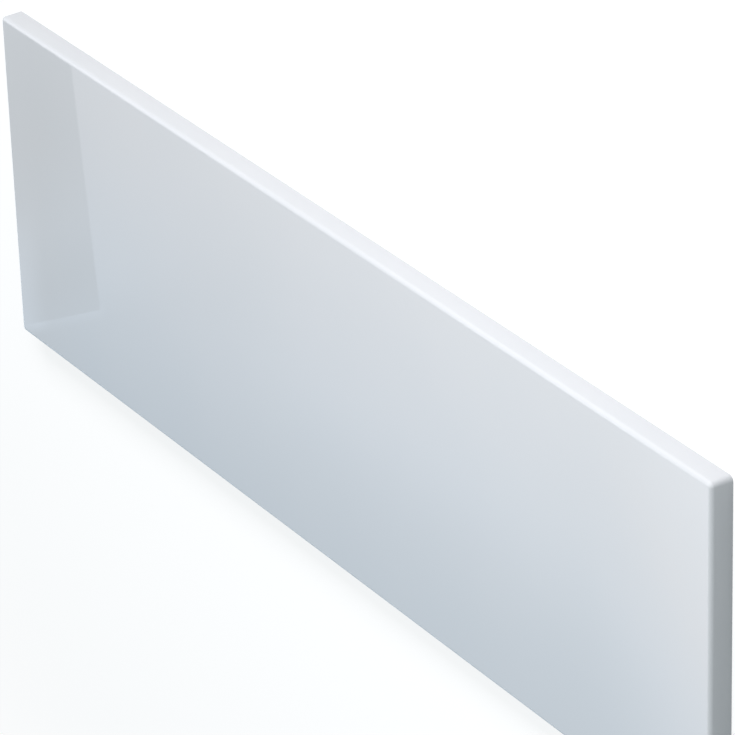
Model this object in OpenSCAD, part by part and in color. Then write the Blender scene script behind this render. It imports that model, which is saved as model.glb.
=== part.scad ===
// Front panel for a straight bath: one sheet of gloss plastic, formed over a
// mould so that all four edges return towards the wall behind it. It lies on
// the rim of its returns with the show face up. X runs along the bath, +Y
// towards the edge that tucks under the bath's rim, and Z out of the face.

/* [Panel] */
// Length over the back rim, along the bath
panel_length = 1700; // [1200:5:1900]
// Height over the back rim, floor to bath
panel_height = 510; // [400:5:600]
// Depth from the show face to the back rim
return_depth = 32; // [24:1:45]
// Thickness of the sheet
sheet = 4; // [2:0.5:5]

/* [Edges] */
// Outside radius of the arris between the face and a return
arris_radius = 6; // [5.5:0.5:10]
// Least radius of a corner of the flat of the face, within its arrises
face_corner_radius = 1; // [0.5:0.5:30]
// Angle at which a return slopes outwards, so that the panel leaves its mould
draft_angle = 2; // [0:0.5:3]

/* [Hidden] */
$fn = 64;

// How far the mould's core reaches below the back rim, to cut it open
core_overrun = 5;
// How far each straight run reaches into the one beside it
run_overlap = 1;
// How far the top of a return tucks in under the arris, so that the two cross
tuck = 0.001;

// The arris is struck from one centre line for the outside and the inside
arris_height = return_depth - arris_radius;
arris_inset = (arris_radius + arris_height * sin(draft_angle)) / cos(draft_angle);
// The corner at the back rim is drawn to a quarter of a millimetre, rounded up
rim_corner_radius = ceil((face_corner_radius + arris_inset) * 4) / 4;

// Half of an edge's section, from the outside inwards: x is the distance in
// from the back rim, y the height. skin is how far it lies under the outside.
module edge_section(skin, reach, base) {
    radius = arris_radius - skin;
    foot = skin / cos(draft_angle) + base * tan(draft_angle);
    tangent = [arris_inset - (radius - tuck) * cos(draft_angle),
               arris_height + (radius - tuck) * sin(draft_angle)];
    polygon([
        [foot, base],
        tangent,
        [arris_inset, arris_height],
        [arris_inset, arris_height + radius],
        [reach, arris_height + radius],
        [reach, base],
    ]);
    translate([arris_inset, arris_height])
        intersection() {
            circle(r = radius);
            translate([-radius, 0])
                square(radius);
        }
}

// A straight run of the section, along X, with its outside at y = 0
module straight_run(length, skin, reach, base) {
    rotate([90, 0, 90])
        linear_extrude(height = length, center = true)
            edge_section(skin, reach, base);
}

// A corner of the section turned about its own axis
module corner_turn(skin, base) {
    rotate_extrude()
        translate([rim_corner_radius, 0])
            mirror([1, 0])
                edge_section(skin, rim_corner_radius, base);
}

// The whole rounded form, lying skin deep under the outside of the panel
module formed_body(skin, base) {
    straight_x = panel_length - 2 * rim_corner_radius;
    straight_y = panel_height - 2 * rim_corner_radius;
    for (side = [0, 180])
        rotate([0, 0, side])
            translate([0, -panel_height / 2, 0])
                straight_run(straight_x, skin, panel_height / 2 + run_overlap, base);
    for (side = [90, 270])
        rotate([0, 0, side])
            translate([0, -panel_length / 2, 0])
                straight_run(straight_y, skin, panel_height / 2 + run_overlap, base);
    for (x = [-1, 1], y = [-1, 1])
        translate([x * straight_x / 2, y * straight_y / 2, 0])
            corner_turn(skin, base);
}

module panel() {
    color([0.90, 0.92, 0.94])
        difference() {
            formed_body(0, 0);
            formed_body(sheet, -core_overrun);
        }
}

panel();
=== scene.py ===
"""Looks of a gloss white bath panel, laid on its rim with the show face up.

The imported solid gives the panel's place and overall sizes. One skin is swept
round it by Geometry Nodes, with the drawn arrises, the trimmed rim and the dull
reverse of the real sheet, and stands in a plain pale studio. X runs along the
bath, +Y towards the edge under the bath's rim, and Z out of the show face.
"""

import logging
import math
from abc import ABC, abstractmethod
from dataclasses import dataclass
from enum import Enum
from typing import Any, Mapping, Optional, Union

import bmesh
import bpy
from mathutils import Matrix, Vector


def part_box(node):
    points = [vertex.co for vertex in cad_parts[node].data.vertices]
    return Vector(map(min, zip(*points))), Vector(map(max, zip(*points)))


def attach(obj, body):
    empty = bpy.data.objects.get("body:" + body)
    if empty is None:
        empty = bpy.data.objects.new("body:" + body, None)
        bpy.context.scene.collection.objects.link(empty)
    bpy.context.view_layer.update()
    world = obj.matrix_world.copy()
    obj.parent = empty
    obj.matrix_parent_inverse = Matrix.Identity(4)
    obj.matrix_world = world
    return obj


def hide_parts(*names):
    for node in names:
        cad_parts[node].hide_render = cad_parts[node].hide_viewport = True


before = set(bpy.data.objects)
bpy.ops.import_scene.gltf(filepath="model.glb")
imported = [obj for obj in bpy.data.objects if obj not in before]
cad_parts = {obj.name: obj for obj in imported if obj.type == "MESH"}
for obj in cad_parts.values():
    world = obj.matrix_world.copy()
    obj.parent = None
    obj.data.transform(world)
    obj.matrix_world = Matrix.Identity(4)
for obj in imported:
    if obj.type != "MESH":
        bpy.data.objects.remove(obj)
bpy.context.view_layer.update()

LOG = logging.getLogger("bath_panel")
PHOTO_PIXELS = 735
SENSOR_MM = 36.0
WHITE = (1.0, 1.0, 1.0)

# The strength at which the surround is seen as white
SURROUND = 1.0

# A noise's own mean, and its usual share of finer detail
NOISE_MEAN = 0.5
NOISE_ROUGHNESS = 0.5

# Half of the step between the marks of two sides
HALF_MARK = 0.5

# Points nearer than this are one point, and a closed mesh has two faces an edge
MERGE_REACH = 1e-6
FACES_PER_EDGE = 2

Number = Union["Wire", float, int]
Colour = tuple[float, float, float]
Place = tuple[float, float, float]
Settings = Optional[Mapping[str, Any]]
Sockets = Optional[Mapping[Union[str, int], Any]]


class Wire:
    """One output socket of a node tree, with arithmetic that adds Math nodes."""

    def __init__(self, weave: "Weave", socket: bpy.types.NodeSocket) -> None:
        """Keep the socket and the tree helper it belongs to.

        Args:
            weave: The helper that adds nodes to the socket's tree.
            socket: The output socket that carries the value.
        """
        self.weave = weave
        self.socket = socket

    def _math(self, operation: str, *values: Number, clamp: bool = False) -> "Wire":
        """Add a Math node on the values, in their order.

        Args:
            operation: The Math node's operation.
            values: Wires or plain numbers for its sockets.
            clamp: Whether the result is kept between 0 and 1.

        Returns:
            The node's result.
        """
        settings = {"operation": operation, "use_clamp": clamp}
        return self.weave.wire("ShaderNodeMath", settings, dict(enumerate(values)))

    def __add__(self, other: Number) -> "Wire":
        """Return self + other."""
        return self._math("ADD", self, other)

    def __radd__(self, other: Number) -> "Wire":
        """Return other + self."""
        return self._math("ADD", other, self)

    def __sub__(self, other: Number) -> "Wire":
        """Return self - other."""
        return self._math("SUBTRACT", self, other)

    def __rsub__(self, other: Number) -> "Wire":
        """Return other - self."""
        return self._math("SUBTRACT", other, self)

    def __mul__(self, other: Number) -> "Wire":
        """Return self * other."""
        return self._math("MULTIPLY", self, other)

    def __rmul__(self, other: Number) -> "Wire":
        """Return other * self."""
        return self._math("MULTIPLY", other, self)

    def __truediv__(self, other: Number) -> "Wire":
        """Return self / other."""
        return self._math("DIVIDE", self, other)

    def __rtruediv__(self, other: Number) -> "Wire":
        """Return other / self."""
        return self._math("DIVIDE", other, self)

    def __neg__(self) -> "Wire":
        """Return -self."""
        return self._math("MULTIPLY", self, -1.0)

    def __gt__(self, other: Number) -> "Wire":
        """Return 1 where self is above other, else 0."""
        return self._math("GREATER_THAN", self, other)

    def __lt__(self, other: Number) -> "Wire":
        """Return 1 where self is below other, else 0."""
        return self._math("LESS_THAN", self, other)

    def clipped(self) -> "Wire":
        """Return self kept between 0 and 1."""
        return self._math("ADD", self, 0.0, clamp=True)

    def at_most(self, other: Number) -> "Wire":
        """Return the lesser of self and other."""
        return self._math("MINIMUM", self, other)

    def at_least(self, other: Number) -> "Wire":
        """Return the greater of self and other."""
        return self._math("MAXIMUM", self, other)

    def sine(self) -> "Wire":
        """Return the sine of self, in radians."""
        return self._math("SINE", self)

    def cosine(self) -> "Wire":
        """Return the cosine of self, in radians."""
        return self._math("COSINE", self)

    def ease(self, low: Number, high: Number) -> "Wire":
        """Return a smooth step of self.

        Args:
            low: Where the step leaves 0.
            high: Where the step reaches 1.

        Returns:
            A wire between 0 and 1.
        """
        sockets = {"Value": self, "From Min": low, "From Max": high}
        settings = {"interpolation_type": "SMOOTHSTEP"}
        return self.weave.wire("ShaderNodeMapRange", settings, sockets)


class Weave:
    """Adds nodes to one shader or geometry tree."""

    def __init__(self, tree: bpy.types.NodeTree) -> None:
        """Keep the tree, emptied.

        Args:
            tree: The node tree that the nodes go into.
        """
        self.tree = tree
        self.tree.nodes.clear()

    def node(
        self, kind: str, settings: Settings = None, sockets: Sockets = None
    ) -> bpy.types.Node:
        """Add a node, with its settings made before its sockets are filled.

        Args:
            kind: The node's type.
            settings: The node's properties.
            sockets: Values or links, by socket name or number.

        Returns:
            The new node.
        """
        made = self.tree.nodes.new(kind)
        for name, value in (settings or {}).items():
            setattr(made, name, value)
        for key, value in (sockets or {}).items():
            self._fill(made.inputs[key], value)
        return made

    def _fill(self, socket: bpy.types.NodeSocket, value: Any) -> None:
        """Link wires to the socket, or set the socket's own value.

        Args:
            socket: The input socket.
            value: A wire, a list of wires, or a plain value.
        """
        if isinstance(value, Wire):
            self.tree.links.new(value.socket, socket)
        elif isinstance(value, list):
            for wire in value:
                self.tree.links.new(wire.socket, socket)
        elif socket.type == "RGBA":
            socket.default_value = (*value, 1.0)
        else:
            socket.default_value = value

    def wire(
        self,
        kind: str,
        settings: Settings = None,
        sockets: Sockets = None,
        out: Union[str, int] = 0,
    ) -> Wire:
        """Add a node and return one of its results.

        Args:
            kind: The node's type.
            settings: As for node.
            sockets: As for node.
            out: The name or number of the output wanted.

        Returns:
            That output as a wire.
        """
        return Wire(self, self.node(kind, settings, sockets).outputs[out])

    def vector(self, x: Number = 0.0, y: Number = 0.0, z: Number = 0.0) -> Wire:
        """Return a vector of three wires or numbers."""
        return self.wire("ShaderNodeCombineXYZ", None, {"X": x, "Y": y, "Z": z})

    def part(self, vector: Wire, axis: str) -> Wire:
        """Return a vector's X, Y or Z."""
        return self.wire("ShaderNodeSeparateXYZ", None, {0: vector}, out=axis)

    def place(self) -> Wire:
        """Return the place on the object, in the object's own coordinates."""
        return self.wire("ShaderNodeTexCoord", out="Object")

    def attribute(self, name: str) -> Wire:
        """Return a named attribute of a geometry tree's mesh or points."""
        return self.wire("GeometryNodeInputNamedAttribute", None, {"Name": name})

    def blend(self, factor: Number, first: Any, second: Any) -> Wire:
        """Mix two colours.

        Args:
            factor: 0 for the first colour, 1 for the second.
            first: A colour or a wire.
            second: A colour or a wire.

        Returns:
            The mixed colour.
        """
        sockets = {0: factor, 6: first, 7: second}
        return self.wire("ShaderNodeMix", {"data_type": "RGBA"}, sockets, out=2)

    def scaled(self, colour: Wire, factor: Number) -> Wire:
        """Return a colour made brighter or darker."""
        sockets = {0: colour, "Scale": factor}
        return self.wire("ShaderNodeVectorMath", {"operation": "SCALE"}, sockets)

    def mixed(self, factor: Number, first: Wire, second: Wire) -> Wire:
        """Return the first shader where the factor is 0, the second where it is 1."""
        return self.wire("ShaderNodeMixShader", None, {0: factor, 1: first, 2: second})

    def shown(self) -> Wire:
        """Tell the rays that show a thing, of the camera, of gloss and through glass.

        Returns:
            1 for such a ray, 0 for any other.
        """
        path = self.node("ShaderNodeLightPath")
        camera, glossy, through = (
            Wire(self, path.outputs[name])
            for name in ("Is Camera Ray", "Is Glossy Ray", "Is Transmission Ray")
        )
        return camera.at_least(glossy).at_least(through)


def new_material(name: str) -> tuple[bpy.types.Material, Weave]:
    """Make a material without nodes.

    Args:
        name: The material's name.

    Returns:
        The material, and the helper that adds its nodes.
    """
    made = bpy.data.materials.new(name)
    made.use_nodes = True
    return made, Weave(made.node_tree)


def flat_sheet(
    name: str, corners: list[Place], material: bpy.types.Material
) -> bpy.types.Object:
    """Make a flat object of the studio.

    Args:
        name: The object's name.
        corners: Its corners in order.
        material: Its material.

    Returns:
        The object.
    """
    mesh = bpy.data.meshes.new(name)
    mesh.from_pydata(corners, [], [tuple(range(len(corners)))])
    mesh.materials.append(material)
    sheet = bpy.data.objects.new(name, mesh)
    bpy.context.scene.collection.objects.link(sheet)
    return sheet


@dataclass(frozen=True)
class Step:
    """A soft step along one measure of a surface."""

    low: float
    high: float

    def up(self, place: Wire) -> Wire:
        """Return 0 before the step, 1 past it and a smooth rise between."""
        return place.ease(self.low, self.high)

    def down(self, place: Wire) -> Wire:
        """Return 1 before the step, 0 past it and a smooth fall between."""
        return 1.0 - self.up(place)


@dataclass(frozen=True)
class Band:
    """A band with soft edges along one measure of a surface."""

    rise: Step
    fall: Step

    def over(self, place: Wire) -> Wire:
        """Return 1 within the band, 0 outside it and smooth edges between."""
        return self.rise.up(place) * self.fall.down(place)


@dataclass(frozen=True)
class NoiseLayer:
    """One noise of a surface: its scale per metre, and its share of the whole."""

    scale: float
    detail: float
    share: float = 1.0

    def height(self, weave: Weave, place: Wire) -> Wire:
        """Return the noise times its share.

        Args:
            weave: The helper of the material's tree.
            place: The place on the surface.

        Returns:
            The layer's height, from about 0 to its share.
        """
        sockets = {
            "Vector": place,
            "Scale": self.scale,
            "Detail": self.detail,
            "Roughness": NOISE_ROUGHNESS,
        }
        return weave.wire("ShaderNodeTexNoise", None, sockets) * self.share


class Grain(Enum):
    """What a surface of the sheet has been through."""

    CALENDERED = "calendered"
    MOULD_SIDE = "mould side"
    ROUTED = "routed"


GRAIN_LAYERS: Mapping[Grain, tuple[NoiseLayer, ...]] = {
    Grain.CALENDERED: (
        NoiseLayer(scale=9.0, detail=1.0, share=0.92),
        NoiseLayer(scale=160.0, detail=2.0, share=0.08),
    ),
    Grain.MOULD_SIDE: (
        NoiseLayer(scale=45.0, detail=3.0, share=0.6),
        NoiseLayer(scale=420.0, detail=4.0, share=0.4),
    ),
    Grain.ROUTED: (NoiseLayer(scale=900.0, detail=1.0),),
}

# A router's fine lines, as radians of a wave per metre up, and how far they wander
TOOL_LINES = 9000.0
TOOL_WANDER = 4.0


@dataclass(frozen=True)
class SheetFinish:
    """A finish of one side of the plastic sheet."""

    name: str
    grain: Grain
    colour: Colour
    shade: Colour
    roughness: float
    roughness_spread: float
    relief: float
    refraction: float = 1.49
    cloud: NoiseLayer = NoiseLayer(scale=5.0, detail=2.0)
    cloud_edge: Step = Step(0.3, 0.7)

    def material(self) -> bpy.types.Material:
        """Build the finish as a material on the panel's own coordinates.

        Returns:
            The material.
        """
        made, weave = new_material(self.name)
        place = weave.place()
        cloud = self.cloud.height(weave, place)
        relief = {
            "Strength": 1.0,
            "Distance": self.relief,
            "Height": self._grain_height(weave, place),
        }
        sockets = {
            "Base Color": weave.blend(self.cloud_edge.up(cloud), self.colour, self.shade),
            "Roughness": self.roughness + (cloud - NOISE_MEAN) * self.roughness_spread,
            "IOR": self.refraction,
            "Normal": weave.wire("ShaderNodeBump", None, relief),
        }
        surface = weave.wire("ShaderNodeBsdfPrincipled", None, sockets)
        weave.node("ShaderNodeOutputMaterial", None, {"Surface": surface})
        return made

    def _grain_height(self, weave: Weave, place: Wire) -> Wire:
        """Return the height of the side's own relief.

        Args:
            weave: The helper of the material's tree.
            place: The place on the panel.

        Returns:
            The height, from about 0 to 1.
        """
        grain = sum(layer.height(weave, place) for layer in GRAIN_LAYERS[self.grain])
        if self.grain is Grain.ROUTED:
            wave = weave.part(place, "Z") * TOOL_LINES + grain * TOOL_WANDER
            grain = (1.0 + wave.sine()) / 2
        return grain


class Side(Enum):
    """The sides of the sheet, in the order in which the skin's section meets them."""

    FACE = 0
    RIM = 1
    REVERSE = 2

    def holds(self, mark: Wire) -> Wire:
        """Return 1 where the mark is nearest to this side's, else 0."""
        return (mark > self.value - HALF_MARK) * (mark < self.value + HALF_MARK)


SHEET_FINISHES: Mapping[Side, SheetFinish] = {
    Side.FACE: SheetFinish(
        name="gloss_white_face",
        grain=Grain.CALENDERED,
        colour=(0.80, 0.815, 0.83),
        shade=(0.79, 0.808, 0.825),
        roughness=0.012,
        roughness_spread=0.004,
        relief=0.000003,
    ),
    Side.RIM: SheetFinish(
        name="routed_white_rim",
        grain=Grain.ROUTED,
        colour=(0.74, 0.75, 0.76),
        shade=(0.70, 0.71, 0.72),
        roughness=0.45,
        roughness_spread=0.15,
        relief=0.00006,
    ),
    Side.REVERSE: SheetFinish(
        name="dull_white_reverse",
        grain=Grain.MOULD_SIDE,
        colour=(0.70, 0.705, 0.70),
        shade=(0.66, 0.665, 0.66),
        roughness=0.55,
        roughness_spread=0.2,
        relief=0.0003,
    ),
}


class Station(Enum):
    """Where each run of the section starts, in the order of its points."""

    FACE_EDGE = 1.0
    ARRIS = 1.1
    OUTER_RIM = 2.0
    INNER_RIM = 3.0
    INNER_ARRIS = 4.0
    INNER_EDGE = 5.0


@dataclass
class FormedSkin:
    """The whole panel: one sheet with its face, arrises, returns and rim.

    The edge's section is drawn as points, each with a station that gives its order,
    and swept round the rim. A face of the swept band has the mean station of its
    corners, which tells the rim from the returns outside and inside it.
    """

    length: float
    width: float
    depth: float
    sheet: float = 0.004
    arris_radius: float = 0.006
    rim_corner_radius: float = 0.008
    draft: float = math.radians(2.0)
    rim_easing: float = 0.0004
    face_margin: float = 0.0005
    arris_steps: int = 20
    rim_steps: int = 4
    corner_steps: int = 20
    name: str = "panel_skin"

    # Each point of a run is this much past the one before it
    station_step: float = 0.001
    # The rim's faces lie within this of its stations, and no others do
    rim_slack: float = 0.25

    def build(self) -> bpy.types.Object:
        """Sweep the section round the panel and turn it into a plain mesh.

        Returns:
            The skin, riding on the root and standing for the solid.
        """
        tree, keys = self._tree()
        skin = bpy.data.objects.new(self.name, bpy.data.meshes.new(self.name))
        bpy.context.scene.collection.objects.link(skin)
        modifier = skin.modifiers.new("forming", "NODES")
        modifier.node_group = tree
        for title, value in self._sizes().items():
            modifier[keys[title]] = value
        bpy.context.view_layer.update()
        graph = bpy.context.evaluated_depsgraph_get()
        mesh = bpy.data.meshes.new_from_object(skin.evaluated_get(graph), depsgraph=graph)
        skin.modifiers.remove(modifier)
        mesh.name = self.name
        skin.data = mesh
        self._drop_bare_slots(mesh)
        self._turn_outwards(mesh)
        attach(skin, "root")
        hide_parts("panel")
        LOG.info("%s: %d faces", skin.name, len(mesh.polygons))
        return skin

    def _sizes(self) -> dict[str, Union[float, int]]:
        """Return the tree's inputs by title."""
        return {
            "Length": self.length,
            "Width": self.width,
            "Depth": self.depth,
            "Sheet": self.sheet,
            "Arris Radius": self.arris_radius,
            "Rim Corner Radius": self.rim_corner_radius,
            "Draft": self.draft,
            "Rim Easing": self.rim_easing,
            "Face Margin": self.face_margin,
            "Arris Steps": self.arris_steps,
            "Rim Steps": self.rim_steps,
            "Corner Steps": self.corner_steps,
        }

    def _tree(self) -> tuple[bpy.types.NodeTree, dict[str, str]]:
        """Make the tree that forms the skin.

        Returns:
            The tree, and each input's identifier by its title.
        """
        tree = bpy.data.node_groups.new("formed_skin", "GeometryNodeTree")
        weave = Weave(tree)
        keys: dict[str, str] = {}
        for title, value in self._sizes().items():
            kind = "NodeSocketInt" if isinstance(value, int) else "NodeSocketFloat"
            socket = tree.interface.new_socket(title, in_out="INPUT", socket_type=kind)
            keys[title] = socket.identifier
        tree.interface.new_socket(
            "Skin", in_out="OUTPUT", socket_type="NodeSocketGeometry"
        )
        entry = weave.node("NodeGroupInput")
        size = {title: Wire(weave, entry.outputs[title]) for title in keys}
        band = self._sweep(weave, self._section(weave, size), size)
        whole = self._close_faces(weave, self._mark_band(weave, band), size)
        real = weave.wire("GeometryNodeRealizeInstances", None, {"Geometry": whole})
        weave.node("NodeGroupOutput", None, {0: self._dress(weave, real)})
        return tree, keys

    def _section(self, weave: Weave, size: Mapping[str, Wire]) -> Wire:
        """Draw the edge's section: x in from the rim, y up, from the face down
        the outside, round the rim and up the inside.

        Args:
            weave: The tree's helper.
            size: The tree's inputs by title.

        Returns:
            The section as one open curve, turned half round for the sweep.
        """
        draft, sheet = size["Draft"], size["Sheet"]
        sine, cosine = draft.sine(), draft.cosine()
        radius, easing = size["Arris Radius"], size["Rim Easing"]
        rise = size["Depth"] - radius
        inset = (radius + rise * sine) / cosine
        reach = inset + size["Face Margin"]
        quarter, half = math.pi / 2, math.pi
        flank = quarter - draft
        # An arc of so many steps has one point more
        arris_points, rim_points = size["Arris Steps"] + 1, size["Rim Steps"] + 1
        outer_foot = easing * (1.0 + sine) / cosine
        inner_foot = (sheet - easing * (1.0 - sine)) / cosine
        runs = [
            self._spot(weave, reach, size["Depth"], Station.FACE_EDGE),
            self._arc(weave, inset, rise, radius, quarter, flank,
                      arris_points, Station.ARRIS),
            self._arc(weave, outer_foot, easing, easing, half - draft, quarter + draft,
                      rim_points, Station.OUTER_RIM),
            self._arc(weave, inner_foot, easing, easing, half + quarter, flank,
                      rim_points, Station.INNER_RIM),
            self._arc(weave, inset, rise, radius - sheet, half - draft, -flank,
                      arris_points, Station.INNER_ARRIS),
            self._spot(weave, reach, size["Depth"] - sheet, Station.INNER_EDGE),
        ]
        points = weave.wire("GeometryNodeJoinGeometry", None, {0: runs})
        sockets = {"Points": points, "Weight": weave.attribute("station")}
        line = weave.wire("GeometryNodePointsToCurves", None, sockets)
        turned = {"Geometry": line, "Rotation": (0.0, 0.0, half)}
        return weave.wire("GeometryNodeTransform", None, turned)

    def _arc(
        self,
        weave: Weave,
        x: Number,
        y: Number,
        radius: Number,
        start: Number,
        sweep: Number,
        count: Number,
        station: Station,
    ) -> Wire:
        """Return the points of an arc, each marked with its place in the section.

        Args:
            weave: The tree's helper.
            x: The centre's distance in from the rim.
            y: The centre's height.
            radius: The arc's radius.
            start: The angle of its first point.
            sweep: The angle that it turns through.
            count: How many points it has.
            station: The mark of its first point; the next ones follow closely.

        Returns:
            The points.
        """
        sockets = {
            "Resolution": count,
            "Radius": radius,
            "Start Angle": start,
            "Sweep Angle": sweep,
        }
        arc = weave.wire("GeometryNodeCurveArc", None, sockets)
        centred = {"Geometry": arc, "Translation": weave.vector(x, y)}
        moved = weave.wire("GeometryNodeTransform", None, centred)
        dots = weave.wire(
            "GeometryNodeCurveToPoints", {"mode": "EVALUATED"}, {"Curve": moved}
        )
        return self._mark_points(weave, dots, station)

    def _spot(self, weave: Weave, x: Number, y: Number, station: Station) -> Wire:
        """Return one marked point of the section.

        Args:
            weave: The tree's helper.
            x: The point's distance in from the rim.
            y: The point's height.
            station: The point's mark.

        Returns:
            The point.
        """
        sockets = {"Count": 1, "Position": weave.vector(x, y)}
        dot = weave.wire("GeometryNodePoints", None, sockets)
        return self._mark_points(weave, dot, station)

    def _mark_points(self, weave: Weave, points: Wire, station: Station) -> Wire:
        """Store the order of the points of one run.

        Args:
            weave: The tree's helper.
            points: The run's points.
            station: The mark of the first one.

        Returns:
            The points with their marks.
        """
        order = station.value + weave.wire("GeometryNodeInputIndex") * self.station_step
        sockets = {"Geometry": points, "Name": "station", "Value": order}
        return weave.wire("GeometryNodeStoreNamedAttribute", None, sockets)

    @staticmethod
    def _sweep(weave: Weave, section: Wire, size: Mapping[str, Wire]) -> Wire:
        """Carry the section round the rim's rounded rectangle.

        Args:
            weave: The tree's helper.
            section: The edge's section.
            size: The tree's inputs by title.

        Returns:
            The band, with an open loop round each flat of the sheet.
        """
        sides = {"Width": size["Length"], "Height": size["Width"]}
        outline = weave.wire("GeometryNodeCurvePrimitiveQuadrilateral", None, sides)
        corners = {
            "Curve": outline,
            "Count": size["Corner Steps"],
            "Radius": size["Rim Corner Radius"],
        }
        rounded = weave.wire("GeometryNodeFilletCurve", {"mode": "POLY"}, corners)
        level = weave.wire(
            "GeometryNodeSetCurveNormal", {"mode": "Z_UP"}, {"Curve": rounded}
        )
        sockets = {"Curve": level, "Profile Curve": section}
        return weave.wire("GeometryNodeCurveToMesh", None, sockets)

    @staticmethod
    def _mark_side(weave: Weave, mesh: Wire, side: Number) -> Wire:
        """Store on each face of a mesh which side of the sheet it is.

        Args:
            weave: The tree's helper.
            mesh: The mesh.
            side: The value of the side, or a wire that carries it.

        Returns:
            The mesh with its marks.
        """
        sockets = {"Geometry": mesh, "Name": "side", "Value": side}
        return weave.wire("GeometryNodeStoreNamedAttribute", {"domain": "FACE"}, sockets)

    def _mark_band(self, weave: Weave, band: Wire) -> Wire:
        """Mark each face of the band by its mean station.

        Args:
            weave: The tree's helper.
            band: The swept band.

        Returns:
            The band, its faces marked as face, rim or reverse.
        """
        station = weave.attribute("station")
        past_face = station > Station.OUTER_RIM.value - self.rim_slack
        past_rim = station > Station.INNER_RIM.value + self.rim_slack
        # Each bound that is passed moves a face on to the next side
        return self._mark_side(weave, band, past_face + past_rim)

    def _close_faces(self, weave: Weave, band: Wire, size: Mapping[str, Wire]) -> Wire:
        """Fill the band's two open loops with the flat of the sheet.

        Args:
            weave: The tree's helper.
            band: The swept and marked band.
            size: The tree's inputs by title.

        Returns:
            The closed skin, smooth and with its doubles merged.
        """
        faces = weave.wire("GeometryNodeInputMeshEdgeNeighbors")
        height = weave.part(weave.wire("GeometryNodeInputPosition"), "Z")
        middle = size["Depth"] - size["Sheet"] / 2
        loose = faces < FACES_PER_EDGE
        flats = []
        for side, chosen, level in (
            (Side.FACE, height > middle, size["Depth"]),
            (Side.REVERSE, height < middle, size["Depth"] - size["Sheet"]),
        ):
            picked = {"Mesh": band, "Selection": loose * chosen}
            loop = weave.wire("GeometryNodeMeshToCurve", None, picked)
            flat = weave.wire("GeometryNodeFillCurve", {"mode": "NGONS"}, {"Curve": loop})
            raised = {"Geometry": flat, "Translation": weave.vector(z=level)}
            lifted = weave.wire("GeometryNodeTransform", None, raised)
            flats.append(self._mark_side(weave, lifted, side.value))
        whole = weave.wire("GeometryNodeJoinGeometry", None, {0: [band, *flats]})
        doubles = {"Geometry": whole, "Distance": MERGE_REACH}
        joined = weave.wire("GeometryNodeMergeByDistance", None, doubles)
        return weave.wire("GeometryNodeSetShadeSmooth", None, {"Geometry": joined})

    def _dress(self, weave: Weave, skin: Wire) -> Wire:
        """Give the face, the rim and the reverse their materials.

        Args:
            weave: The tree's helper.
            skin: The closed and marked skin.

        Returns:
            The skin with its materials.
        """
        mark = weave.attribute("side")
        for side, finish in SHEET_FINISHES.items():
            sockets = {
                "Geometry": skin,
                "Selection": side.holds(mark),
                "Material": finish.material(),
            }
            skin = weave.wire("GeometryNodeSetMaterial", None, sockets)
        return skin

    @staticmethod
    def _drop_bare_slots(mesh: bpy.types.Mesh) -> None:
        """Take away the material slots that the joining left without a finish.

        Args:
            mesh: The skin's mesh.
        """
        for index in reversed(range(len(mesh.materials))):
            if mesh.materials[index] is None:
                mesh.materials.pop(index=index)

    @staticmethod
    def _turn_outwards(mesh: bpy.types.Mesh) -> None:
        """Merge the mesh's doubles and point its faces out of the sheet.

        Args:
            mesh: The skin's mesh.
        """
        work = bmesh.new()
        work.from_mesh(mesh)
        bmesh.ops.remove_doubles(work, verts=work.verts, dist=MERGE_REACH)
        bmesh.ops.recalc_face_normals(work, faces=work.faces)
        loose = sum(len(edge.link_faces) != FACES_PER_EDGE for edge in work.edges)
        LOG.info("skin: %d open edges, volume %.6f m3", loose, work.calc_volume())
        work.to_mesh(mesh)
        work.free()
        mesh.update()


@dataclass(frozen=True)
class KeyLight:
    """One soft lamp of the studio."""

    name: str
    place: Place
    aim: Place
    size: tuple[float, float]
    power: float
    colour: Colour = WHITE

    def build(self) -> bpy.types.Object:
        """Hang the lamp, out of sight of the camera and of the gloss.

        Returns:
            The lamp.
        """
        data = bpy.data.lights.new(self.name, "AREA")
        data.shape = "RECTANGLE"
        data.size, data.size_y = self.size
        data.energy = self.power
        data.color = self.colour
        lamp = bpy.data.objects.new(self.name, data)
        bpy.context.scene.collection.objects.link(lamp)
        lamp.location = self.place
        ray = Vector(self.aim) - Vector(self.place)
        lamp.rotation_mode = "QUATERNION"
        lamp.rotation_quaternion = ray.to_track_quat("-Z", "Y")
        lamp.visible_camera = False
        lamp.visible_glossy = False
        LOG.info("%s: %.0f W", self.name, self.power)
        return lamp


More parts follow.
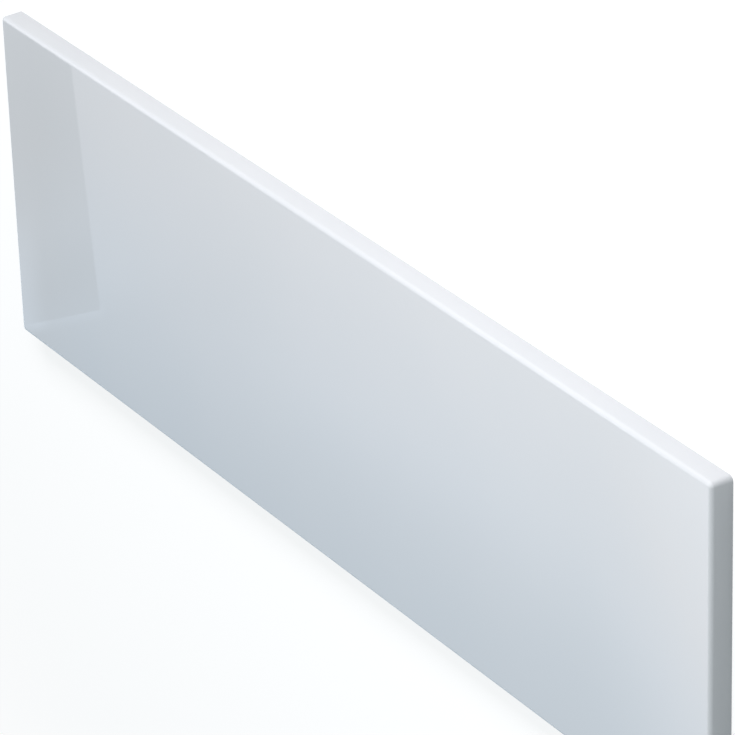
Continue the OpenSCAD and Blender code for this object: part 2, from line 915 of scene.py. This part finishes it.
@dataclass(frozen=True)
class GlossRoom:
    """What the panes that the gloss mirrors share: tones, a line and an edge.

    Both panes are cool below a line that slants across them, and warmer past it,
    high up and low down. The edge is the upright one of the board, which leans.
    """

    level: float = 1.245

    cool: Colour = (0.735, 0.98, 1.28)
    warm: Colour = (1.005, 0.988, 1.035)
    warm_reach: float = 0.72
    high: Step = Step(2.24, 2.90)
    high_warmth: float = 0.5
    low: Step = Step(0.96, 1.12)
    low_warmth: float = 0.25

    line_y: float = -1.41
    line_z: float = 0.967
    line_slope: float = 0.88
    bend_start: float = 2.3
    bend: float = 0.8

    edge_y: float = -1.172
    edge_foot: float = 0.1
    edge_lean: float = -0.105

    def past_line(self, y: Wire, z: Wire) -> Wire:
        """Return how far a place is past the slanting line, which bends up high."""
        bent = (z - self.bend_start).at_least(0.0) * self.bend
        return (y - self.line_y) + (z - self.line_z) * self.line_slope + bent

    def edge_at(self, z: Number) -> Number:
        """Return where the board's leaning edge is at a height."""
        return (z - self.edge_foot) * self.edge_lean + self.edge_y

    def tone(self, weave: Weave, y: Wire, z: Wire) -> Wire:
        """Return the colour of a place.

        Args:
            weave: The helper of the pane's tree.
            y: How far across the place is.
            z: How far up it is.

        Returns:
            The colour, before its brightness.
        """
        upper = self.high.up(z) * self.high_warmth
        lower = self.low.down(z) * self.low_warmth
        warmth = self.past_line(y, z) / self.warm_reach + upper + lower
        return weave.blend(warmth.clipped(), self.cool, self.warm)


@dataclass(frozen=True)
class GlossPane(ABC):
    """An upright pane that only gloss shows: it lights, shades and hides nothing."""

    name: str
    room: GlossRoom = GlossRoom()
    stand: float = -2.6
    gap: float = 0.0

    @abstractmethod
    def corners(self) -> list[tuple[float, float]]:
        """Return the pane's corners in order, each across and up."""

    @abstractmethod
    def glow(self, y: Wire, z: Wire) -> Wire:
        """Return how bright a place is, from how far across and up it is."""

    def build(self) -> bpy.types.Object:
        """Stand the pane up with its glow.

        Returns:
            The pane.
        """
        made, weave = new_material(self.name)
        place = weave.place()
        y, z = weave.part(place, "Y"), weave.part(place, "Z")
        colour = weave.scaled(self.room.tone(weave, y, z), self.glow(y, z))
        light = weave.wire("ShaderNodeEmission", None, {"Color": colour})
        weave.node("ShaderNodeOutputMaterial", None, {"Surface": light})
        x = self.stand + self.gap
        pane = flat_sheet(self.name, [(x, *corner) for corner in self.corners()], made)
        pane.visible_camera = False
        pane.visible_diffuse = False
        pane.visible_shadow = False
        LOG.info("%s: at x %.2f m", self.name, x)
        return pane


@dataclass(frozen=True)
class GlossWall(GlossPane):
    """A pale wall past the far end, with a soft sweep of light along it.

    Its lit part fades out to the surround at both ends and at the top. Within it
    the wall is darker below the slanting line and lighter high up, with a soft
    light low beside the board, another across the middle, and a narrow streak
    along the board's edge. A bright patch stands past the board's far side.
    """

    name: str = "gloss_wall"
    span_y: tuple[float, float] = (-4.6, 1.9)
    span_z: tuple[float, float] = (0.02, 4.2)
    lit_end: float = 1.2
    fade: float = 0.9

    line_edge: Step = Step(-0.05, 0.38)
    line_fall: float = 0.30
    high_rise: float = 0.90

    low_across: Band = Band(Step(-1.34, -1.20), Step(-1.15, -0.85))
    low_top: Step = Step(1.12, 1.55)
    low_rise: float = 0.15

    middle_up: Band = Band(Step(1.35, 1.65), Step(1.95, 2.40))
    middle_edge: Step = Step(0.15, 0.40)
    middle_rise: float = 0.13

    patch_across: Band = Band(Step(-0.15, 0.20), Step(1.20, 1.80))
    patch_up: Band = Band(Step(0.70, 1.00), Step(1.35, 2.30))
    patch_rise: float = 1.25

    streak_across: Band = Band(Step(-0.035, 0.0), Step(0.0, 0.01))
    streak_top: Step = Step(1.117, 1.147)
    streak_rise: float = 0.17
    streak_low_top: Step = Step(0.985, 1.02)
    streak_low_rise: float = 0.38

    def corners(self) -> list[tuple[float, float]]:
        """Return the wall's corners in order, each across and up."""
        (left, right), (low, high) = self.span_y, self.span_z
        return [(right, low), (left, low), (left, high), (right, high)]

    def glow(self, y: Wire, z: Wire) -> Wire:
        """Return how bright a place is.

        Args:
            y: How far across the place is.
            z: How far up it is.

        Returns:
            The brightness, 1 for plain white.
        """
        past_line = self.room.past_line(y, z)
        middle = self.middle_up.over(z) * self.middle_edge.up(past_line)
        shape = (
            self.room.level - SURROUND
            - self.line_edge.down(past_line) * self.line_fall
            + self.room.high.up(z) * self.high_rise
            + self.low_across.over(y) * self.low_top.down(z) * self.low_rise
            + middle * self.middle_rise
            + self._streak(y, z)
        )
        patch = self.patch_across.over(y) * self.patch_up.over(z) * self.patch_rise
        return SURROUND + shape * self._lit(y, z) + patch

    def _lit(self, y: Wire, z: Wire) -> Wire:
        """Return how far a place is within the lit part of the wall.

        Args:
            y: How far across the place is.
            z: How far up it is.

        Returns:
            1 within the lit part, fading to 0 at its ends and its top.
        """
        left, top, end = self.span_y[0], self.span_z[1], self.lit_end
        across = Band(Step(left, left + self.fade), Step(end - self.fade, end))
        return across.over(y) * Step(top - self.fade, top).down(z)

    def _streak(self, y: Wire, z: Wire) -> Wire:
        """Return the light of the streak along the board's edge.

        Args:
            y: How far across the place is.
            z: How far up it is.

        Returns:
            What the streak adds to the brightness.
        """
        across = self.streak_across.over(y - self.room.edge_at(z))
        low = self.streak_low_top.down(z) * self.streak_low_rise
        return across * self.streak_top.down(z) * (low + self.streak_rise)


@dataclass(frozen=True)
class GlossBoard(GlossPane):
    """A board before the wall, with a leaning edge and a sloping top.

    It dims steadily away from its edge, dips beside the edge and a little far from
    it, and is lighter low down, most of all beside the edge.
    """

    name: str = "gloss_board"
    gap: float = 0.01
    far_side: float = 0.4
    edge_top: float = 1.121
    far_top: float = 1.026

    edge_lead: float = 0.05
    dimming: float = 1.30
    dimming_reach: float = 0.4

    near_side: Step = Step(-1.22, -1.05)
    near_fall: float = 0.25

    far_off: Step = Step(-0.90, -0.75)
    far_fall: float = 0.05

    low_top: Step = Step(0.948, 1.012)
    low_side: Step = Step(-1.18, -0.98)
    low_least: float = 0.25
    low_rise: float = 0.52

    def corners(self) -> list[tuple[float, float]]:
        """Return the board's corners in order, each across and up."""
        foot, crown = self.room.edge_foot, self.edge_top
        return [
            (self.far_side, foot),
            (self.room.edge_at(foot), foot),
            (self.room.edge_at(crown), crown),
            (self.far_side, self.far_top),
        ]

    def glow(self, y: Wire, z: Wire) -> Wire:
        """Return how bright a place is.

        Args:
            y: How far across the place is.
            z: How far up it is.

        Returns:
            The brightness, 1 for plain white.
        """
        away = (y - self.room.edge_at(z)).at_most(self.dimming_reach)
        side = self.low_side.down(y) * (1.0 - self.low_least) + self.low_least
        return (
            self.room.level + self.edge_lead
            - away * self.dimming
            - self.near_side.down(y) * self.near_fall
            - self.far_off.up(y) * self.far_fall
            + self.low_top.down(z) * side * self.low_rise
        )


@dataclass(frozen=True)
class PaleFloor:
    """The floor that the panel rests on.

    Near the panel it is a dull white that keeps the shadow, lifted so that it is
    seen as almost white, and farther off it is the white of the surround. Rays that
    don't show it meet a plain diffuse floor, which sends a little light back up.
    """

    half: float = 60.0
    bounce: float = 0.40
    own: float = 0.45
    lift: float = 0.72
    near_edge: Step = Step(1.1, 2.2)

    def build(self) -> bpy.types.Object:
        """Lay the floor.

        Returns:
            The floor.
        """
        made, weave = new_material("pale_floor")
        bounce = weave.wire("ShaderNodeBsdfDiffuse", None, {"Color": (self.bounce,) * 3})
        own = weave.wire("ShaderNodeBsdfDiffuse", None, {"Color": (self.own,) * 3})
        lift, far = (
            weave.wire("ShaderNodeEmission", None, {"Color": WHITE, "Strength": strength})
            for strength in (self.lift, SURROUND)
        )
        near = weave.wire("ShaderNodeAddShader", None, {0: own, 1: lift})
        reach = weave.wire(
            "ShaderNodeVectorMath", {"operation": "LENGTH"}, {0: weave.place()}, out="Value"
        )
        seen = weave.mixed(self.near_edge.up(reach), near, far)
        whole = weave.mixed(weave.shown(), bounce, seen)
        weave.node("ShaderNodeOutputMaterial", None, {"Surface": whole})
        signs = ((-1, -1), (1, -1), (1, 1), (-1, 1))
        corners = [(x * self.half, y * self.half, 0.0) for x, y in signs]
        floor = flat_sheet("floor", corners, made)
        LOG.info("floor: %.0f m across", 2 * self.half)
        return floor


@dataclass(frozen=True)
class RoomSky:
    """Even, slightly cool light, behind a surround that is seen as white."""

    light: Colour = (0.350, 0.394, 0.413)

    def build(self) -> bpy.types.World:
        """Fill the room with the light.

        Returns:
            The scene's world.
        """
        world = bpy.data.worlds.new("studio_sky")
        bpy.context.scene.world = world
        world.use_nodes = True
        weave = Weave(world.node_tree)
        light = weave.wire("ShaderNodeBackground", None, {"Color": self.light})
        sockets = {"Color": WHITE, "Strength": SURROUND}
        white = weave.wire("ShaderNodeBackground", None, sockets)
        whole = weave.mixed(weave.shown(), light, white)
        weave.node("ShaderNodeOutputWorld", None, {"Surface": whole})
        return world


@dataclass(frozen=True)
class Studio:
    """Everything that isn't the panel, but for the camera."""

    floor: PaleFloor = PaleFloor()
    sky: RoomSky = RoomSky()
    panes: tuple[GlossPane, ...] = (GlossWall(), GlossBoard())
    lamps: tuple[KeyLight, ...] = (
        KeyLight(
            name="top_edge_softbox",
            place=(0.2, 2.4, 1.2),
            aim=(0.1, 0.0, 0.0),
            size=(2.8, 0.8),
            power=56.0,
            colour=(1.010, 0.977, 1.000),
        ),
        KeyLight(
            name="near_end_softbox",
            place=(0.9, 0.5, 1.1),
            aim=(0.75, 0.0, 0.0),
            size=(0.7, 0.6),
            power=1.9,
        ),
    )

    def build(self) -> None:
        """Set up the floor, the sky, the panes and the lamps."""
        for thing in (self.floor, self.sky, *self.panes, *self.lamps):
            thing.build()


@dataclass(frozen=True)
class PhotoCamera:
    """The long lens that looks down on the panel from the photograph's side."""

    place: Place = (4.7895, 3.0329, 2.9973)
    ahead: Place = (-0.74641, -0.46874, -0.47240)
    upward: Place = (-0.37827, 0.88286, -0.27833)
    focal_pixels: float = 4813.1
    nearest: float = 0.05
    farthest: float = 200.0

    def build(self) -> bpy.types.Object:
        """Set up the scene's camera.

        Returns:
            The camera.
        """
        data = bpy.data.cameras.new("photo_camera")
        data.sensor_fit = "AUTO"
        data.sensor_width = SENSOR_MM
        data.lens = SENSOR_MM * self.focal_pixels / PHOTO_PIXELS
        data.clip_start = self.nearest
        data.clip_end = self.farthest
        camera = bpy.data.objects.new("photo_camera", data)
        bpy.context.scene.collection.objects.link(camera)
        back = -Vector(self.ahead).normalized()
        right = Vector(self.upward).cross(back).normalized()
        upward = back.cross(right)
        turn = Matrix((right, upward, back)).transposed()
        camera.rotation_mode = "QUATERNION"
        camera.rotation_quaternion = turn.to_quaternion()
        camera.location = self.place
        bpy.context.scene.camera = camera
        LOG.info("camera: %.1f mm", data.lens)
        return camera


def main() -> None:
    """Build the camera, the panel and the studio, in that order."""
    logging.basicConfig(level=logging.INFO, format="%(name)s: %(message)s")
    bpy.context.scene.view_settings.view_transform = "Standard"
    PhotoCamera().build()
    low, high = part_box("panel")
    length, width, depth = Vector(high) - Vector(low)
    FormedSkin(length, width, depth).build()
    Studio().build()


if __name__ == "__main__":
    main()
